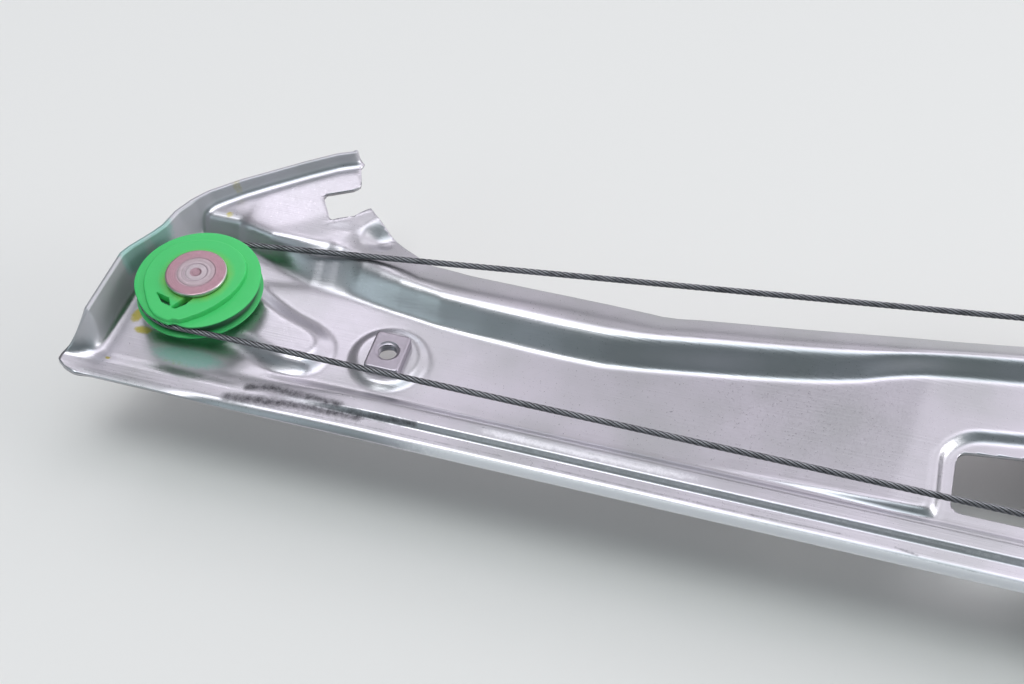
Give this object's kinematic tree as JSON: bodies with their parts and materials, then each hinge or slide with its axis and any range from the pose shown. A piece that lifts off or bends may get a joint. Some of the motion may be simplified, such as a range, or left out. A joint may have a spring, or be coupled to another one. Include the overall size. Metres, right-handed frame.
{
  "type": "window regulator",
  "caption": "Single-rail cable window regulator: stamped rail, two pulleys, geared motor with cable drum, and a sliding carrier that clamps the glass.",
  "frame": {"origin": "bottom centre of the whole part's box, under the middle of the rail", "axes": "+X along the rail from the upper pulley to the lower one, +Y across the rail towards the drum, +Z away from the motor, out of the rail's open face"},
  "size_m": [0.5374, 0.1202, 0.0596],
  "materials": {
    "zinc_plated_rail": "zinc plated sheet, satin",
    "weld_nut_steel": "zinc plated",
    "rivet_steel": "turned face, thin passivation",
    "steel_cable": "stranded, greased",
    "black_nylon": "moulded, glass filled",
    "zinc_screw": "zinc plated",
    "ground_steel": "ground",
    "spring_steel": "drawn wire",
    "motor_can_steel": "deep drawn, zinc plated",
    "ferrite": "sintered",
    "carbon_brush": "pressed copper graphite",
    "bronze_bush": "sintered bronze",
    "brass_pin": "tinned brass",
    "black_rubber": "moulded",
    "acetal_white": "moulded acetal",
    "zinc_plate": "zinc plated sheet",
    "zinc_nipple": "die-cast zinc",
    "acetal_drum": "moulded acetal",
    "acetal_wheel": "moulded acetal",
    "core_steel": "stacked laminations",
    "copper_wire": "enamelled copper",
    "copper_bar": "copper bars",
    "green_acetal": "moulded acetal, bright green"
  },
  "bodies": {
    "rail": {"guide_rail": "zinc_plated_rail", "fixing_nuts": "weld_nut_steel", "upper_pulley_rivet": "rivet_steel", "lower_pulley_rivet": "rivet_steel", "raising_cable": "steel_cable", "lowering_cable": "steel_cable", "drum_housing": "black_nylon", "housing_screws": "zinc_screw", "gear_housing": "black_nylon", "gear_cover": "black_nylon", "wheel_axle": "ground_steel", "axle_clip": "spring_steel", "motor_can": "motor_can_steel", "field_magnets": "ferrite", "brush_holder": "black_nylon", "brushes": "carbon_brush", "shaft_bushes": "bronze_bush", "motor_screws": "zinc_screw", "connector_housing": "black_nylon", "connector_pins": "brass_pin", "lower_stop": "black_rubber"},
    "carrier": {"carrier_slider": "acetal_white", "carrier_plate": "zinc_plate", "carrier_rivets": "rivet_steel", "cable_nipples": "zinc_nipple", "nipple_springs": "spring_steel", "clamp_jaw": "zinc_plate", "glass_pads": "black_rubber", "clamp_screw": "zinc_screw", "clamp_nut": "zinc_screw"},
    "upper_pulley": {"upper_pulley": "green_acetal"},
    "lower_pulley": {"lower_pulley": "green_acetal"},
    "drum": {"cable_drum": "acetal_drum", "drum_winding": "steel_cable", "drive_dog": "acetal_drum", "rubber_damper": "black_rubber", "worm_wheel": "acetal_wheel"},
    "armature": {"armature_shaft": "ground_steel", "armature_core": "core_steel", "armature_winding": "copper_wire", "commutator": "copper_bar"}
  },
  "joints": [
    {"name": "carrier_slide", "type": "slide", "parent": "rail", "child": "carrier", "axis": [1, 0, 0], "range_m": [-0.238, 0.12]},
    {"name": "upper_pulley_spin", "type": "hinge", "parent": "rail", "child": "upper_pulley", "pos_m": [-0.2383, -0.02162, 0.041], "axis": [0, 0, 1], "range_deg": [-810, 410]},
    {"name": "lower_pulley_spin", "type": "hinge", "parent": "rail", "child": "lower_pulley", "pos_m": [0.2417, -0.02162, 0.041], "axis": [0, 0, 1], "range_deg": [-810, 410]},
    {"name": "drum_spin", "type": "hinge", "parent": "rail", "child": "drum", "pos_m": [0.0467, 0.0143, 0.033], "axis": [0, 0, 1], "range_deg": [-623, 316]},
    {"name": "armature_spin", "type": "hinge", "parent": "rail", "child": "armature", "pos_m": [0.0917, -0.01721, 0.015], "axis": [1, 0, 0], "range_deg": [-18599, 9379]}
  ],
  "couplings": [
    {"joint": "upper_pulley_spin", "follows": "carrier_slide", "rad_per_m": 59.172},
    {"joint": "lower_pulley_spin", "follows": "carrier_slide", "rad_per_m": 59.172},
    {"joint": "drum_spin", "follows": "carrier_slide", "rad_per_m": 45.455},
    {"joint": "armature_spin", "follows": "carrier_slide", "rad_per_m": 1363.6}
  ]
}
